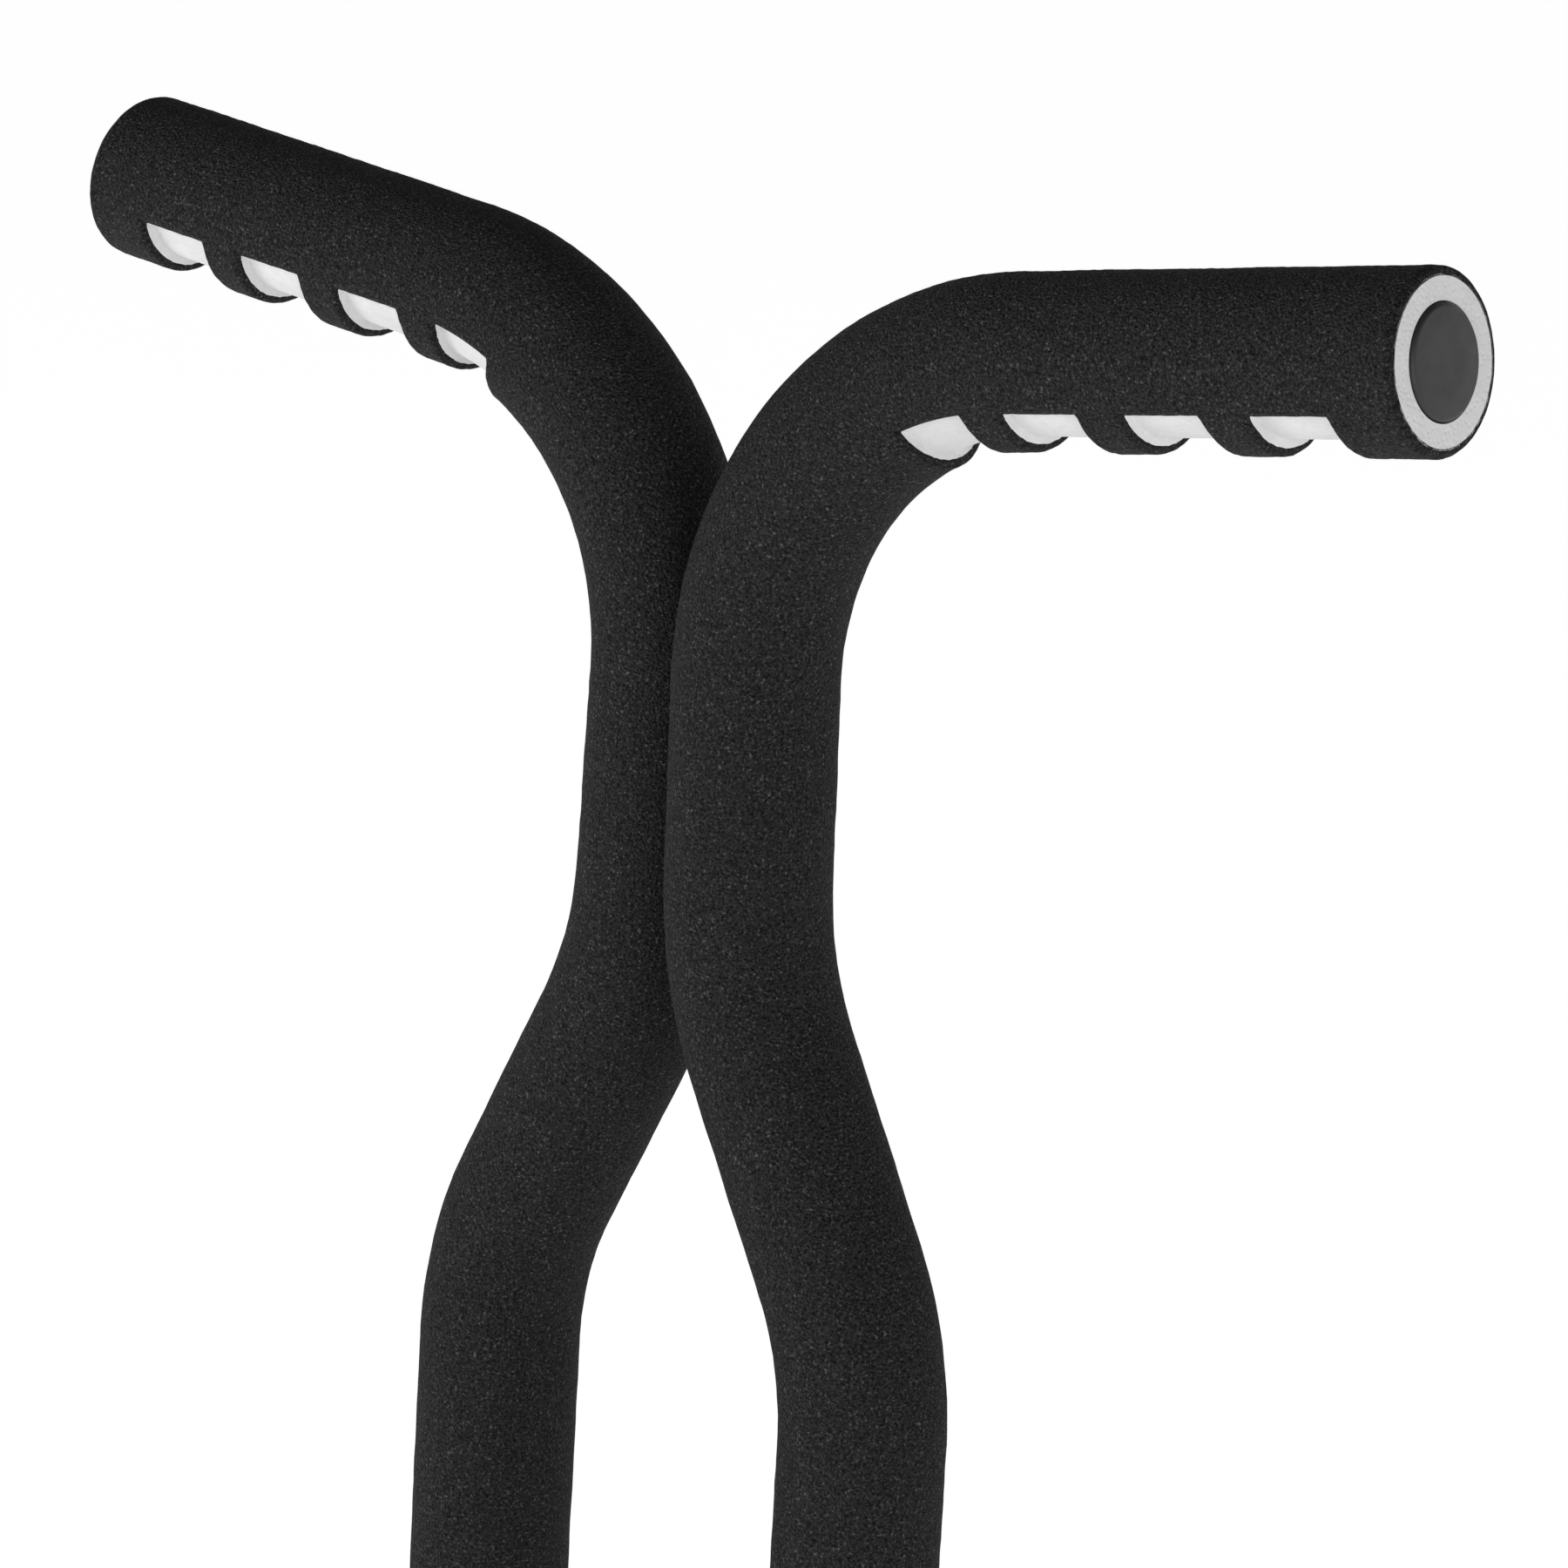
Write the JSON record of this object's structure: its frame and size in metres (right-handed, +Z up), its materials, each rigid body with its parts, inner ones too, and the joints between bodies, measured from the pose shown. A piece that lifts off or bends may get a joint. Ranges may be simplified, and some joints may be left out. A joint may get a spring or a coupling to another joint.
{
  "type": "pull-up bar",
  "caption": "Pull-up bar with two bent, foam-covered grip bars that swivel side by side in a bolted socket base, handles outward.",
  "frame": {"origin": "centre of the base plate's underside, midway between the two leg axes", "axes": "+Z up along the legs, +X from the left socket to the right one, -Y towards the front"},
  "size_m": [0.3698, 0.1, 0.4706],
  "materials": {
    "black_foam": "matte closed-cell foam rubber with a fine pitted skin",
    "white_foam": "matte white foam rubber with fine pores",
    "grey_plastic": "satin",
    "black_plastic": "satin",
    "nylon": "satin",
    "bare_steel": "satin",
    "painted_steel": "satin black powder coat",
    "zinc": "bright zinc plate"
  },
  "bodies": {
    "base": {"base_plate": "painted_steel", "cross_web": "painted_steel", "right_socket": "painted_steel", "right_socket_bush": "nylon", "right_front_gusset": "painted_steel", "right_rear_gusset": "painted_steel", "right_clamp_nut": "zinc", "left_socket": "painted_steel", "left_socket_bush": "nylon", "left_front_gusset": "painted_steel", "left_rear_gusset": "painted_steel", "left_clamp_nut": "zinc"},
    "right_bar": {"right_tube": "bare_steel", "right_foam_liner": "white_foam", "right_foam_sleeve": "black_foam", "right_handle_cap": "grey_plastic", "right_foot_plug": "black_plastic", "right_height_collar": "zinc", "right_collar_screw": "zinc"},
    "right_clamp": {"right_clamp_stem": "zinc", "right_clamp_knob": "black_plastic"},
    "left_bar": {"left_tube": "bare_steel", "left_foam_liner": "white_foam", "left_foam_sleeve": "black_foam", "left_handle_cap": "grey_plastic", "left_foot_plug": "black_plastic", "left_height_collar": "zinc", "left_collar_screw": "zinc"},
    "left_clamp": {"left_clamp_stem": "zinc", "left_clamp_knob": "black_plastic"}
  },
  "joints": [
    {"name": "right_bar_swivel", "type": "hinge", "parent": "base", "child": "right_bar", "pos_m": [0.05765, 0, 0.07], "axis": [0, 0, 1], "range_deg": [0, 90]},
    {"name": "left_bar_swivel", "type": "hinge", "parent": "base", "child": "left_bar", "pos_m": [-0.05765, 0, 0.07], "axis": [0, 0, 1], "range_deg": [0, 90]},
    {"name": "right_clamp_turn", "type": "hinge", "parent": "base", "child": "right_clamp", "pos_m": [0.09, 0, 0.04], "axis": [1, 0, 0], "range_deg": [0, 360]},
    {"name": "left_clamp_turn", "type": "hinge", "parent": "base", "child": "left_clamp", "pos_m": [-0.09, 0, 0.04], "axis": [-1, 0, 0], "range_deg": [0, 360]}
  ]
}
